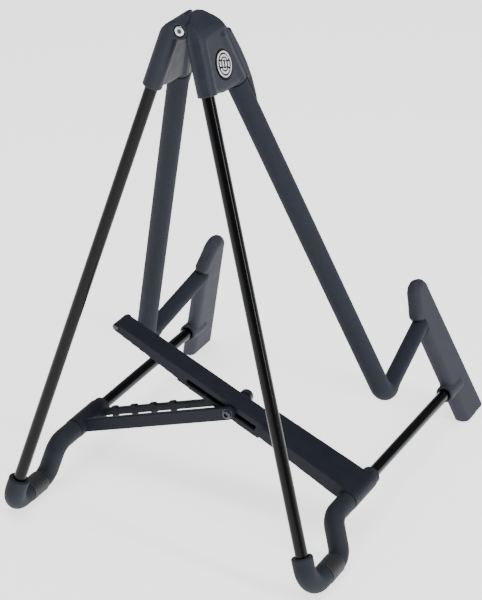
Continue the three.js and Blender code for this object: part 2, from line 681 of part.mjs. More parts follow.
// Each fork screw stops short of the beam, so the slot stays free for its guide.
function forkScrew(isFront) {
  const outer = FORK_INNER / 2 + ARM_THICKNESS;
  const headRadius = isFront ? FORK_NUT_RADIUS : FORK_SCREW_RADIUS;
  const headLength = isFront ? FORK_NUT_LENGTH : FORK_HEAD_LENGTH;
  const screw = hexSocketScrew(headRadius, headLength, SCREW_RADIUS, headLength + ARM_THICKNESS);
  if (isFront) screw.rotateZ(Math.PI);
  const sign = isFront ? 1 : -1;
  return screw.translate(forkLength, braceY + sign * (outer + GAP + headLength), 0);
}

function bracePieces() {
  const beam = new THREE.Group();
  beam.add(named('brace_bush', mirrored(pivotBush()), 'nylon'));
  beam.add(named('brace_hub', mirrored(braceHub()), 'nylon'));
  beam.add(named('brace_beam', mirrored(braceBeam()), 'nylon'));
  beam.add(named('latch_pin', mirrored(latchPin()), 'steel'));
  beam.position.set(pivotX, 0, pivotZ);
  beam.rotation.y = beamAngle;
  const arms = new THREE.Group();
  arms.add(named('fork_bush', pivotBush(), 'nylon'));
  arms.add(named('brace_fork', fork(), 'nylon'));
  arms.add(named('fork_screw_rear', forkScrew(false), 'steel'));
  arms.add(named('fork_screw_front', forkScrew(true), 'steel'));
  arms.position.set(-pivotX, 0, pivotZ);
  arms.rotation.y = -forkAngle;
  const group = new THREE.Group();
  group.add(beam, arms);
  return group;
}

// ---------------------------------------------------------------- assembly

const level = new THREE.Group();
const rightHalf = halfPieces('right');
rightHalf.add(named('badge', badge(), 'emblem'));
rightHalf.rotation.y = -tilt;
const leftHalf = halfPieces('left');
leftHalf.rotation.y = tilt;
const top = new THREE.Group();
top.add(rightHalf, leftHalf, hingePieces());
top.position.z = HINGE_HEIGHT;
level.add(top, bracePieces());
level.rotation.x = -dip;

// The origin is on the floor, below the middle of the stand's length.
const stand = new THREE.Group();
stand.add(level);
stand.updateMatrixWorld(true);
const bounds = new THREE.Box3().setFromObject(stand, true);
stand.position.set(0, -(bounds.min.y + bounds.max.y) / 2, -bounds.min.z);

export default stand;
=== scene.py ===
import json
import math

import bmesh
import bpy
from mathutils import Matrix, Vector


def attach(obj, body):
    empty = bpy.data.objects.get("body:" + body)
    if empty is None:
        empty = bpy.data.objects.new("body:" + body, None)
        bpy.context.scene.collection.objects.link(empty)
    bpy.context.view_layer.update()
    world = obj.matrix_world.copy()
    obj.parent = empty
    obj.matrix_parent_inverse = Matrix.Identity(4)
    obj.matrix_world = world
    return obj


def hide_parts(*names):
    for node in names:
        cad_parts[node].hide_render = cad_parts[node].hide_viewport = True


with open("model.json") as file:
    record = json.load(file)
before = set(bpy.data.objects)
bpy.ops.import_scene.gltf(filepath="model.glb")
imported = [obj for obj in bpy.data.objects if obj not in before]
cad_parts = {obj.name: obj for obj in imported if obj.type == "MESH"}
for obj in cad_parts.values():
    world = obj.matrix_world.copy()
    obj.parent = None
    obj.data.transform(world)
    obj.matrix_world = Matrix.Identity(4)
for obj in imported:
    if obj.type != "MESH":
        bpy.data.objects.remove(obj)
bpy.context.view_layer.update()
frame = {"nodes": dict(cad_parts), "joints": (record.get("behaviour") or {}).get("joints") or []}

bl_info = {
    "name": "Folding Guitar Stand",
    "version": (1, 0, 0),
    "blender": (4, 5, 0),
    "location": "View3D > Sidebar > Stand",
    "description": "Finished surfaces for a folding A-frame guitar stand",
    "category": "Object",
}

MM = 0.001
JOINTS = {joint["name"]: joint for joint in frame["joints"]}
TILT = math.radians(16.9)  # lean of each side frame
BEAM_RAISE = math.radians(24.2)  # slope of the brace beam from its pivot
FORK_RAISE = math.radians(18.9)  # slope of the brace fork from its pivot


# ---------------------------------------------------------------- places taken from the frame

def joint_place(name):
    return Vector(JOINTS[name]["pos_m"])


def level_turn():
    """The turn that tips the hinge axis to the front, read from the fold joint's axis."""
    axis = Vector(JOINTS["fold"]["axis"])
    return Matrix.Rotation(math.atan2(axis.z, axis.y), 4, "X")


# RIGHT and LEFT stand for one half each: x across it, y to the front, -z down its plane from the hinge.
# BEAM and FORK run along x from their pivots, and HINGE has its y along the hinge screw.
LEVEL = level_turn()
FLIP = Matrix.Scale(-1, 4, (1, 0, 0))
RIGHT = Matrix.Translation(joint_place("fold")) @ LEVEL @ Matrix.Rotation(-TILT, 4, "Y")
LEFT = Matrix.Translation(joint_place("fold")) @ LEVEL @ Matrix.Rotation(TILT, 4, "Y") @ FLIP
BEAM = Matrix.Translation(joint_place("beam_turn")) @ LEVEL @ Matrix.Rotation(BEAM_RAISE, 4, "Y") @ FLIP
FORK = Matrix.Translation(joint_place("fork_turn")) @ LEVEL @ Matrix.Rotation(-FORK_RAISE, 4, "Y")
HINGE = Matrix.Translation(joint_place("fold")) @ LEVEL
HALVES = {"right": (RIGHT, "right_half"), "left": (LEFT, "left_half")}


# ---------------------------------------------------------------- sizes and colours a user may change

def length(name, description, default):
    return bpy.props.FloatProperty(name=name, description=description, default=default * MM, unit="LENGTH")


class StandSizes(bpy.types.PropertyGroup):
    rod: length("Rod radius", "Radius of the bent steel rod", 4)
    cover: length("Pad radius", "Radius of the padding on the cradle's tube", 6.7)
    arm_cover: length("Seat arm pad radius", "Radius of the padding on the seat arm", 5.8)
    foot: length("Rear shoe radius", "Radius of the rubber shoe", 6.9)
    ring: length("Floor ring radius", "Radius over the ribs of the floor ring", 7.3)
    sleeve: length("Sleeve radius", "Radius of the rubber sleeve over the step", 6.65)
    rib_pitch: length("Rib pitch", "Distance between two ribs of the floor ring", 1.7)
    rib_depth: length("Rib depth", "Depth of the groove between two ribs", 0.7)


def srgb(code):
    """A sRGB hex value such as "3a3b40" as a linear colour with alpha."""
    channels = [int(code[i:i + 2], 16) / 255 for i in (0, 2, 4)]
    return [c / 12.92 if c <= 0.04045 else ((c + 0.055) / 1.055) ** 2.4 for c in channels] + [1.0]


def colour(name, description, code):
    return bpy.props.FloatVectorProperty(
        name=name, description=description, default=srgb(code), size=4, min=0, max=1, subtype="COLOR")


class StandColours(bpy.types.PropertyGroup):
    enamel: colour("Enamel", "Gloss black enamel on the steel rods", "020204")
    padding: colour("Padding", "Moulded rubber on the cradle", "20242d")
    post: colour("Posts", "Moulded rubber of the front posts", "2f3039")
    casing: colour("Housings", "Moulded nylon of the hinge housings", "232731")
    brace: colour("Brace", "Glass-filled nylon of the brace", "1b1e26")
    foot: colour("Feet", "Rubber of the shoes, rings and sleeves", "23272e")
    floor: colour("Floor", "Plain pale floor", "fbfbfc")


# ---------------------------------------------------------------- materials

def add(tree, kind, links=(), **settings):
    """Adds a node with its settings, and links (output, own input name) pairs into it."""
    node = tree.nodes.new(kind)
    for name, value in settings.items():
        if hasattr(node, name):
            setattr(node, name, value)
        else:
            node.inputs[name.replace("_", " ")].default_value = value
    for output, own in links:
        tree.links.new(output, node.inputs[own])
    return node


def blank(name):
    material = bpy.data.materials.new(name)
    material.use_nodes = True
    tree = material.node_tree
    shader = next(n for n in tree.nodes if n.type == "BSDF_PRINCIPLED")
    place = add(tree, "ShaderNodeTexCoord").outputs["Object"]
    return material, tree, shader, place


def ramp(tree, source, low, high, start=0.3, end=0.7):
    """Turns a 0 to 1 value into the range low to high."""
    return add(tree, "ShaderNodeMapRange", [(source, "Value")], From_Min=start, From_Max=end,
               To_Min=low, To_Max=high).outputs["Result"]


def mixed(tree, factor, dark, light):
    node = add(tree, "ShaderNodeMix", data_type="RGBA")
    node.inputs[6].default_value = dark
    node.inputs[7].default_value = light
    tree.links.new(factor, node.inputs[0])
    return node.outputs[2]


def shade(base, factor):
    return [min(c * factor, 1.0) for c in base[:3]] + [1.0]


def noise(tree, place, grain_mm, detail=2.0, roughness=0.5):
    """Noise whose features are grain_mm across."""
    return add(tree, "ShaderNodeTexNoise", [(place, "Vector")], Scale=1 / (grain_mm * MM), Detail=detail,
               Roughness=roughness).outputs["Fac"]


def moulded_polymer(name, base, grain_mm, grain_depth_mm, roughness, specular, spread=0.12):
    """A moulded polymer: fine spark-eroded grain from the mould, faint cloudy shade, uneven gloss."""
    material, tree, shader, place = blank(name)
    cloud = noise(tree, place, 9.0, 3.0)
    grain = noise(tree, place, grain_mm, 2.0, 0.6)
    tint = mixed(tree, ramp(tree, cloud, 0, 1), shade(base, 1 - spread), shade(base, 1 + spread))
    speck = ramp(tree, grain, 0.88, 1.12, 0.25, 0.75)
    toned = add(tree, "ShaderNodeVectorMath", [(tint, 0)], operation="SCALE")
    tree.links.new(speck, toned.inputs["Scale"])
    tree.links.new(toned.outputs[0], shader.inputs["Base Color"])
    tree.links.new(ramp(tree, cloud, roughness - 0.05, roughness + 0.06), shader.inputs["Roughness"])
    bump = add(tree, "ShaderNodeBump", [(grain, "Height")], Strength=1.0, Distance=grain_depth_mm * MM)
    tree.links.new(bump.outputs[0], shader.inputs["Normal"])
    shader.inputs["IOR"].default_value = 1.52
    shader.inputs["Specular IOR Level"].default_value = specular
    return material


def gloss_enamel(name, base):
    """Baked black enamel on steel: a deep colour under a clear, slightly rippled gloss."""
    material, tree, shader, place = blank(name)
    peel = noise(tree, place, 2.2, 2.0)
    dust = noise(tree, place, 0.5, 2.0)
    tree.links.new(mixed(tree, ramp(tree, peel, 0, 1), shade(base, 0.8), shade(base, 1.3)),
                   shader.inputs["Base Color"])
    tree.links.new(ramp(tree, dust, 0.16, 0.24), shader.inputs["Roughness"])
    shader.inputs["Specular IOR Level"].default_value = 0.1
    bump = add(tree, "ShaderNodeBump", [(peel, "Height")], Strength=0.35, Distance=0.02 * MM)
    tree.links.new(bump.outputs[0], shader.inputs["Normal"])
    shader.inputs["IOR"].default_value = 1.55
    shader.inputs["Coat Weight"].default_value = 0.12
    shader.inputs["Coat Roughness"].default_value = 0.06
    return material


def bright_metal(name, code, roughness, brush_mm):
    """Plated steel: mirror-like metal with fine turning marks that spread the highlight."""
    material, tree, shader, place = blank(name)
    base = srgb(code)
    marks = noise(tree, place, brush_mm, 3.0)
    tree.links.new(mixed(tree, ramp(tree, marks, 0, 1), shade(base, 0.85), shade(base, 1.08)),
                   shader.inputs["Base Color"])
    tree.links.new(ramp(tree, marks, roughness - 0.04, roughness + 0.08), shader.inputs["Roughness"])
    bump = add(tree, "ShaderNodeBump", [(marks, "Height")], Strength=0.4, Distance=0.01 * MM)
    tree.links.new(bump.outputs[0], shader.inputs["Normal"])
    shader.inputs["Metallic"].default_value = 1.0
    return material


FLOOR_GLOW = 1.6


def pale_floor(name, base):
    """Matt painted board: soft, even and without a visible pattern. It glows, to stay pale."""
    material, tree, shader, place = blank(name)
    cloud = noise(tree, place, 300)
    tree.links.new(mixed(tree, ramp(tree, cloud, 0, 1), shade(base, 0.99), base), shader.inputs["Base Color"])
    shader.inputs["Roughness"].default_value = 0.9
    shader.inputs["Specular IOR Level"].default_value = 0.1
    shader.inputs["Emission Color"].default_value = (1, 1, 1, 1)
    shader.inputs["Emission Strength"].default_value = FLOOR_GLOW
    return material


def make_materials(colours):
    """Every finish by name. Grain sizes are drawn about twice as coarse as real so that they show."""
    return {
        # Gloss black stove enamel on steel rod: near black, with long thin highlights.
        "enamel": gloss_enamel("stove_enamel_black", colours.enamel),
        # Thermoplastic rubber tube: matt, dark blue-grey.
        "padding": moulded_polymer("tpe_padding", colours.padding, 0.7, 0.05, 0.72, specular=0.16),
        # Thermoplastic rubber post: matt, the lightest grey of the stand.
        "post": moulded_polymer("tpe_post", colours.post, 0.8, 0.06, 0.7, specular=0.2),
        # Nylon housing: dull satin, so that flat faces take a broad soft light.
        "casing": moulded_polymer("nylon_casing", colours.casing, 0.6, 0.035, 0.5, specular=0.2),
        # Glass-filled nylon: darker, with a dry grain.
        "brace": moulded_polymer("glass_filled_nylon", colours.brace, 0.5, 0.05, 0.55, specular=0.15),
        # Rubber for the feet: matt, a shade greyer than the padding.
        "foot": moulded_polymer("nitrile_rubber", colours.foot, 0.6, 0.04, 0.68, specular=0.16),
        # The same rubber, worn a little shinier on the ribs that stand on the floor.
        "ring": moulded_polymer("nitrile_rubber_ribbed", srgb("141519"), 0.5, 0.03, 0.5, specular=0.6),
        # Near black. Where it fills shadow gaps (the web in the beam's slot, the rim round the hinge screw)
        # it is painted shade; under the emblem it is the emblem's own black plate.
        "dark": moulded_polymer("black_rubber_and_painted_shade", srgb("0c0c0f"), 0.5, 0.03, 0.8, specular=0.2),
        # Nickel-plated screw: bright with a soft spread.
        "plate": bright_metal("nickel_plate", "d4d6da", 0.14, 0.25),
        # Blackened steel: dark metal with a dull shine.
        "pin": bright_metal("blackened_steel", "4a4b50", 0.3, 0.3),
        # Satin foil of the emblem: pale and even.
        "foil": bright_metal("satin_aluminium_foil", "e9eaec", 0.34, 0.4),
    }


# ---------------------------------------------------------------- shape helpers

def finish_object(name, mesh, material, body, nodes=(), smooth_angle=35):
    """Puts a mesh that is already in the row frame on its body."""
    mesh.name = name
    mesh.materials.clear()
    mesh.materials.append(material)
    for polygon in mesh.polygons:
        polygon.use_smooth = True
    mesh.set_sharp_from_angle(angle=math.radians(smooth_angle))
    piece = bpy.data.objects.new(name, mesh)
    bpy.context.scene.collection.objects.link(piece)
    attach(piece, body)
    if nodes:
        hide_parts(*nodes)
    return piece


def place_mesh(mesh, matrix):
    mesh.transform(matrix)
    if matrix.determinant() < 0:
        mesh.flip_normals()
    return mesh


def bent(corners, radii, steps=14):
    """Rounds each inner corner of a line with its own radius."""
    points = [corners[0]]
    for before, corner, after, radius in zip(corners, corners[1:], corners[2:], radii):
        back = (before - corner).normalized()
        on = (after - corner).normalized()
        half = back.angle(on) / 2
        centre = corner + (back + on).normalized() * (radius / math.sin(half))
        spoke = corner + back * (radius / math.tan(half)) - centre
        axis = back.cross(on).normalized()
        turn = math.pi - 2 * half
        for k in range(steps + 1):
            points.append(centre + Matrix.Rotation(-turn * k / steps, 3, axis) @ spoke)
    points.append(corners[-1])
    return points


class Route:
    """A line that can be asked for its place and direction at any distance along it."""

    def __init__(self, points):
        self.points = points
        self.marks = [0.0]
        for a, b in zip(points, points[1:]):
            self.marks.append(self.marks[-1] + (b - a).length)
        self.length = self.marks[-1]

    def at(self, s):
        index = 0
        while index < len(self.points) - 2 and s > self.marks[index + 1]:
            index += 1
        a, b = self.points[index], self.points[index + 1]
        share = (s - self.marks[index]) / (self.marks[index + 1] - self.marks[index])
        return a + (b - a) * share

    def along(self, s):
        reach = 0.4 * MM
        return (self.at(s + reach) - self.at(s - reach)).normalized()

    def nearest(self, test):
        """The first distance at which the test of a place holds."""
        count = 2000
        marks = (self.length * k / count for k in range(count + 1))
        return next(s for s in marks if test(self.at(s)))


def rounded_end(s, radius, fillet, sign, steps=5):
    """Stations of a filleted end at distance s; sign is 1 at the start and -1 at the finish."""
    stations = []
    for k in range(steps + 1):
        angle = math.pi / 2 * k / steps
        stations.append((s + sign * fillet * (1 - math.sin(angle)), radius - fillet * (1 - math.cos(angle))))
    return stations if sign < 0 else stations[::-1]


def between(s0, s1, radius, step=1.2 * MM):
    """Stations of one radius between two distances, without the two ends."""
    count = max(2, int(abs(s1 - s0) / step))
    return [(s0 + (s1 - s0) * k / count, radius) for k in range(1, count)]


def sweep(route, stations, sides=56, side=Vector((1, 0, 0))):
    """A closed round body along a route that lies in a plane. Each station is (distance, radius).
    Stations that end where they started make a ring instead of a capped body."""
    shape = bmesh.new()
    rings = []
    loops = stations[0] == stations[-1]
    for s, radius in (stations[:-1] if loops else stations):
        centre, along = route.at(s), route.along(s)
        up = along.cross(side).normalized()
        ring = []
        for k in range(sides):
            angle = 2 * math.pi * k / sides
            ring.append(shape.verts.new(centre + (side * math.cos(angle) + up * math.sin(angle)) * radius))
        rings.append(ring)
    for a, b in zip(rings, rings[1:] + (rings[:1] if loops else [])):
        for k in range(sides):
            n = (k + 1) % sides
            shape.faces.new((a[k], b[k], b[n], a[n]))
    if not loops:
        shape.faces.new(rings[0])
        shape.faces.new(rings[-1][::-1])
    bmesh.ops.recalc_face_normals(shape, faces=shape.faces)
    mesh = bpy.data.meshes.new("swept")
    shape.to_mesh(mesh)
    shape.free()
    return mesh


def straight(a, b):
    return Route([Vector(a) * MM, Vector(b) * MM])


def turned(matrix, a, b, profile, sides=56, side=Vector((1, 0, 0))):
    """A turned body from a to b (mm). The profile lists (distance, radius) in mm."""
    route = straight(a, b)
    return place_mesh(sweep(route, [(s * MM, r * MM) for s, r in profile], sides, side), matrix)


def joined(meshes):
    """One mesh of several."""
    shape = bmesh.new()
    for mesh in meshes:
        shape.from_mesh(mesh)
    whole = bpy.data.meshes.new("joined")
    shape.to_mesh(whole)
    shape.free()
    return whole


def prism(outline, low, high, matrix):
    """A straight prism of an outline in (x, y) mm between two z values, placed by a matrix."""
    shape = bmesh.new()
    bottom = [shape.verts.new(matrix @ (Vector((x, y, low)) * MM)) for x, y in outline]
    top = [shape.verts.new(matrix @ (Vector((x, y, high)) * MM)) for x, y in outline]
    count = len(outline)
    for k in range(count):
        n = (k + 1) % count
        shape.faces.new((bottom[k], bottom[n], top[n], top[k]))
    shape.faces.new(bottom[::-1])
    shape.faces.new(top)
    bmesh.ops.recalc_face_normals(shape, faces=shape.faces)
    mesh = bpy.data.meshes.new("prism")
    shape.to_mesh(mesh)
    shape.free()
    return mesh


def hexagon(radius):
    return [(radius * math.cos(math.pi * k / 3), radius * math.sin(math.pi * k / 3)) for k in range(6)]


def block(low, high):
    """A box between two corners in mm."""
    outline = [(low[0], low[1]), (high[0], low[1]), (high[0], high[1]), (low[0], high[1])]
    return prism(outline, low[2], high[2], Matrix.Identity(4))


def evaluated(mesh, modifiers):
    """Runs modifiers on a mesh and returns the result. Each one is (type, settings)."""
    temporary = bpy.data.objects.new("working", mesh)
    bpy.context.scene.collection.objects.link(temporary)
    for kind, settings in modifiers:
        modifier = temporary.modifiers.new(kind, kind)
        for name, value in settings.items():
            setattr(modifier, name, value)
    bpy.context.view_layer.update()
    result = bpy.data.meshes.new_from_object(temporary.evaluated_get(bpy.context.evaluated_depsgraph_get()))
    bpy.data.objects.remove(temporary)
    return result


def cut(mesh, cutters, operation="DIFFERENCE"):
    for cutter in cutters:
        tool = bpy.data.objects.new("tool", cutter)
        bpy.context.scene.collection.objects.link(tool)
        mesh = evaluated(mesh, [("BOOLEAN", {"object": tool, "operation": operation, "solver": "EXACT"})])
        bpy.data.objects.remove(tool)
    return mesh


def softened(node, matrix, voxel, passes, cuts=(), adds=()):
    """A fine-meshed copy of a CAD solid with moulded, softly rounded edges."""
    shape = bmesh.new()
    shape.from_mesh(frame["nodes"][node].data)
    bmesh.ops.remove_doubles(shape, verts=shape.verts, dist=2e-6)
    mesh = bpy.data.meshes.new("copy")
    shape.to_mesh(mesh)
    shape.free()
    place_mesh(mesh, matrix.inverted())
    mesh = cut(cut(mesh, adds, "UNION"), cuts)  # both are in the piece's own frame
    fine = [
        ("REMESH", {"mode": "VOXEL", "voxel_size": voxel * MM, "use_smooth_shade": True}),
        ("SMOOTH", {"factor": 0.5, "iterations": passes}),
    ]
    return place_mesh(evaluated(mesh, fine), matrix)


# ---------------------------------------------------------------- lines of one side frame, in mm
# Here x is across the half, y to the front and -z down its plane from the hinge axis.

OFFSET = 7.1  # hinge axis to the half's middle plane
FLOOR_U = 349.35  # the rod's run along the floor
RUN_U = FLOOR_U - 26  # the raised run that carries the brace
SEAT_U = FLOOR_U - 62.3  # the bend of the cradle
TUBE_TOP_U = 43.5  # where the cradle's tube leaves the housing
ROD_END_Y = 199.9  # front end of the rod, inside the post's boss
ARM_END_Y = 180.8  # front end of the seat arm's padding, inside the post


def slope(degrees):
    return math.tan(math.radians(degrees))


def rod_y(u):
    """Middle line of the rear leg rod."""
    return 5.3 - u * slope(7.4)


def tube_y(u):
    """Middle line of the cradle's tube."""
    return 21.7 + u * slope(16.95)


def arm_u(y):
    """Middle line of the seat arm."""
    return SEAT_U - (y - tube_y(SEAT_U)) * slope(15.9)


def spot(y, u, x=OFFSET):
    """A place in a half, u mm down from the hinge axis."""
    return Vector((x, y, -u)) * MM


def leg_route():
    corners = [spot(rod_y(16), 16), spot(rod_y(FLOOR_U), FLOOR_U), spot(5, FLOOR_U), spot(9, RUN_U),
               spot(ROD_END_Y, RUN_U)]
    return Route(bent(corners, [13.5 * MM, 7.8 * MM, 7.8 * MM]))


def cradle_route():
    corners = [spot(tube_y(TUBE_TOP_U), TUBE_TOP_U), spot(tube_y(SEAT_U), SEAT_U),
               spot(ARM_END_Y, arm_u(ARM_END_Y))]
    return Route(bent(corners, [9.5 * MM]))


def each_half():
    for side, (matrix, body) in HALVES.items():
        yield side, matrix, body


class Shop:
    """Materials shared by the operators of one run."""
    looks = {}


def sizes():
    return bpy.context.scene.stand_sizes


# ---------------------------------------------------------------- operators

class STAND_OT_materials(bpy.types.Operator):
    """Makes every finish that the pieces share"""
    bl_idname = "stand.materials"
    bl_label = "Materials"

    def execute(self, context):
        Shop.looks = make_materials(context.scene.stand_colours)
        return {"FINISHED"}


class STAND_OT_rods(bpy.types.Operator):
    """Bent steel rods behind and below each half"""
    bl_idname = "stand.rods"
    bl_label = "Leg rods"

    def execute(self, context):
        radius = sizes().rod
        for side, matrix, body in each_half():
            route = leg_route()
            stations = (rounded_end(0, radius, 0.6 * MM, 1) + between(0, route.length, radius)
                        + rounded_end(route.length, radius, 0.6 * MM, -1))
            mesh = place_mesh(sweep(route, stations), matrix)
            finish_object(f"leg_rod_{side}_gloss", mesh, Shop.looks["enamel"], body,
                          [f"leg_rod_{side}", f"cradle_core_{side}"])
        return {"FINISHED"}


class STAND_OT_padding(bpy.types.Operator):
    """Padding on the cradle's tube and its thinner seat arm"""
    bl_idname = "stand.padding"
    bl_label = "Cradle padding"

    def execute(self, context):
        thick, thin = sizes().cover, sizes().arm_cover
        for side, matrix, body in each_half():
            route = cradle_route()
            corner = route.nearest(lambda p: p.y > (tube_y(SEAT_U) + 6) * MM)
            stations = rounded_end(0, thick, 0.5 * MM, 1) + between(0, corner, thick)
            for k in range(9):  # the thick pad eases into the thin one round the bend
                ease = 0.5 - 0.5 * math.cos(math.pi * k / 8)
                stations.append((corner + k * 1.2 * MM, thick + (thin - thick) * ease))
            stations += between(corner + 10 * MM, route.length, thin)
            stations += rounded_end(route.length, thin, 0.5 * MM, -1)
            mesh = place_mesh(sweep(route, stations), matrix)
            finish_object(f"cradle_cover_{side}_pad", mesh, Shop.looks["padding"], body,
                          [f"cradle_cover_{side}"])
        return {"FINISHED"}


class STAND_OT_posts(bpy.types.Operator):
    """Soft front posts with their prongs and rod bosses"""
    bl_idname = "stand.posts"
    bl_label = "Front posts"

    def execute(self, context):
        for side, matrix, body in each_half():
            mesh = softened(f"front_post_{side}", matrix, 0.5, 14)
            finish_object(f"front_post_{side}_soft", mesh, Shop.looks["post"], body,
                          [f"front_post_{side}"], 60)
        return {"FINISHED"}


def flatten_below(mesh):
    """Presses flat what would reach below the floor."""
    for vertex in mesh.vertices:
        vertex.co.z = max(vertex.co.z, 0.0)


class STAND_OT_feet(bpy.types.Operator):
    """Rubber shoes, ribbed floor rings and step sleeves"""
    bl_idname = "stand.feet"
    bl_label = "Feet"

    def execute(self, context):
        size = sizes()
        bore = size.rod + 0.3 * MM
        for side, matrix, body in each_half():
            route = leg_route()
            start = route.nearest(lambda p: -p.z > (FLOOR_U - 23) * MM)
            end = route.nearest(lambda p: p.y > -19.3 * MM and p.z < -(FLOOR_U - 2) * MM)
            shoe = ([(start + 3 * MM, bore), (start, bore)] + rounded_end(start, size.foot, 0.7 * MM, 1)
                    + between(start, end, size.foot) + rounded_end(end, size.foot, 0.5 * MM, -1))
            mesh = place_mesh(sweep(route, shoe), matrix)
            flatten_below(mesh)
            finish_object(f"rear_foot_{side}_shoe", mesh, Shop.looks["foot"], body,
                          [f"rear_foot_{side}"])
            self.ring(side, matrix, body, size)
            self.sleeve(side, matrix, body, size)
        return {"FINISHED"}

    def ring(self, side, matrix, body, size):
        route = straight((OFFSET, -19, -FLOOR_U), (OFFSET, -3, -FLOOR_U))
        profile = rounded_end(0, size.ring, 0.5 * MM, 1)
        per_rib = 8
        count = int(route.length / size.rib_pitch) * per_rib
        for k in range(1, count):
            dip = (0.5 + 0.5 * math.cos(2 * math.pi * k / per_rib)) ** 3
            profile.append((route.length * k / count, size.ring - size.rib_depth * dip))
        profile += rounded_end(route.length, size.ring, 0.5 * MM, -1)
        mesh = place_mesh(sweep(route, profile, 72), matrix)
        flatten_below(mesh)
        finish_object(f"floor_ring_{side}_ribbed", mesh, Shop.looks["ring"], body,
                      [f"floor_ring_{side}"])

    def sleeve(self, side, matrix, body, size):
        route = leg_route()
        start = route.nearest(lambda p: p.y > -2.7 * MM and p.z < -(FLOOR_U - 3) * MM)
        end = route.nearest(lambda p: p.y > 29.2 * MM)
        profile = (rounded_end(start, size.sleeve, 0.5 * MM, 1) + between(start, end, size.sleeve)
                   + rounded_end(end, size.sleeve, 0.7 * MM, -1))
        mesh = place_mesh(sweep(route, profile), matrix)
        flatten_below(mesh)
        finish_object(f"bend_sleeve_{side}_soft", mesh, Shop.looks["foot"], body,
                      [f"bend_sleeve_{side}"])


class STAND_OT_housings(bpy.types.Operator):
    """Hinge housings with their sockets, webs and spines"""
    bl_idname = "stand.housings"
    bl_label = "Hinge housings"

    def execute(self, context):
        groove_radius = 0.75 * MM
        seam = Route([spot(y, u, 13.0) for y, u in ((30.4, 8.5), (32.9, 20.7), (35.9, 30.4), (39.2, 42))])
        stations = [(0, groove_radius)] + between(0, seam.length, groove_radius)
        stations.append((seam.length, groove_radius))
        for side, matrix, body in each_half():
            groove = sweep(seam, stations, 12)
            mesh = softened(f"housing_{side}", matrix, 0.42, 7, [groove])
            finish_object(f"housing_{side}_moulded", mesh, Shop.looks["casing"], body,
                          [f"housing_{side}"], 60)
        return {"FINISHED"}


class STAND_OT_hinge(bpy.types.Operator):
    """Socket screw, washer and nut of the main hinge"""
    bl_idname = "stand.hinge"
    bl_label = "Hinge hardware"

    def execute(self, context):
        # Each profile lists (distance along the axis, radius) in mm.
        plate = Shop.looks["plate"]
        head = turned(HINGE, (0, 0, 0), (0, 25, 0),
                      [(0, 2.7), (0.1, 2.95), (0.4, 3.2), (0.7, 3.3), (3.9, 3.3), (4, 3.2), (4, 2), (24.5, 2),
                       (24.7, 1.8)])
        key = HINGE @ Matrix.Rotation(math.radians(-90), 4, "X")
        socket = prism(hexagon(1.85), -1, 2.4, key)
        finish_object("hinge_screw_plated", cut(head, [socket]), plate, "left_half",
                      ["hinge_screw"])
        # A near-black ring round the screw head: painted shade in the screw's bore.
        rim = turned(HINGE, (0, 0.15, 0), (0, 5, 0),
                     [(0, 3.45), (0, 4.3), (0.25, 4.5), (0.6, 4.5), (0.6, 3.45), (0, 3.45)], 48)
        finish_object("hinge_screw_rim_painted_shade", rim, Shop.looks["dark"], "left_half")
        nut = turned(HINGE, (0, 20.9, 0), (0, 25.1, 0), [(0, 3.3), (0.3, 3.75), (3.9, 3.75), (4.2, 3.3)], 6)
        finish_object("hinge_nut_plated", nut, plate, "right_half", ["hinge_nut"])
        washer = turned(HINGE, (0, 19.8, 0), (0, 20.6, 0), [(0, 3.7), (0.1, 3.9), (0.7, 3.9), (0.8, 3.7)])
        finish_object("hinge_washer_plated", washer, plate, "right_half", ["hinge_washer"])
        return {"FINISHED"}


class STAND_OT_emblem(bpy.types.Operator):
    """Round emblem of plain rings and bars on the right housing"""
    bl_idname = "stand.emblem"
    bl_label = "Emblem"
    lift = 13.4  # the emblem's face in the half
    sunk = 0.45  # how deep the foil parts start below the face

    def execute(self, context):
        lift = self.lift
        face = RIGHT @ Matrix.Translation(spot(17.5, 27.5, 0)) @ Matrix.Rotation(math.radians(90), 4, "Y")
        face = face @ Matrix.Rotation(math.radians(72), 4, "Z")
        plate = turned(face, (0, 0, lift - 1.4), (0, 0, lift), [(0, 8.5), (0.2, 8.9), (1.0, 8.9), (1.15, 8.6),
                                                               (1.15, 8.3), (0.95, 8.1)], 96)
        finish_object("badge_plate", plate, Shop.looks["dark"], "right_half", ["badge"])
        parts = [self.whole_ring(face, 6.9, 8.0)]
        parts += [self.arc(face, 4.5, 5.9, a, a + 116) for a in (32, 212)]
        parts += [self.arc(face, 2.6, 3.6, a, a + 84) for a in (48, 228)]
        parts += [self.bar(face, x, 1.7, 3.0) for x in (-4.6, -1.55, 1.55, 4.6)]
        finish_object("badge_rings", joined(parts), Shop.looks["foil"], "right_half")
        return {"FINISHED"}

    def whole_ring(self, face, inner, outer):
        rings = [(0, outer - 0.1), (0.1, outer), (0.25, outer), (0.4, outer - 0.1), (0.4, inner + 0.1),
                 (0.3, inner), (0, inner), (0, outer - 0.1)]
        return turned(face, (0, 0, self.lift - self.sunk), (0, 0, self.lift), rings, 96)

    def arc(self, face, inner, outer, start, end):
        count = 72
        outline = []
        for radius, order in ((outer, range(count + 1)), (inner, range(count, -1, -1))):
            for k in order:
                angle = math.radians(start + (end - start) * k / count)
                outline.append((radius * math.cos(angle), radius * math.sin(angle)))
        return self.foil(outline, face)

    def bar(self, face, x, width, height):
        half = width / 2
        outline = [(x - half, -height / 2), (x + half, -height / 2), (x + half, height / 2),
                   (x - half, height / 2)]
        return self.foil(outline, face)

    def foil(self, outline, face):
        return prism(outline, self.lift - self.sunk, self.lift - 0.05, face)


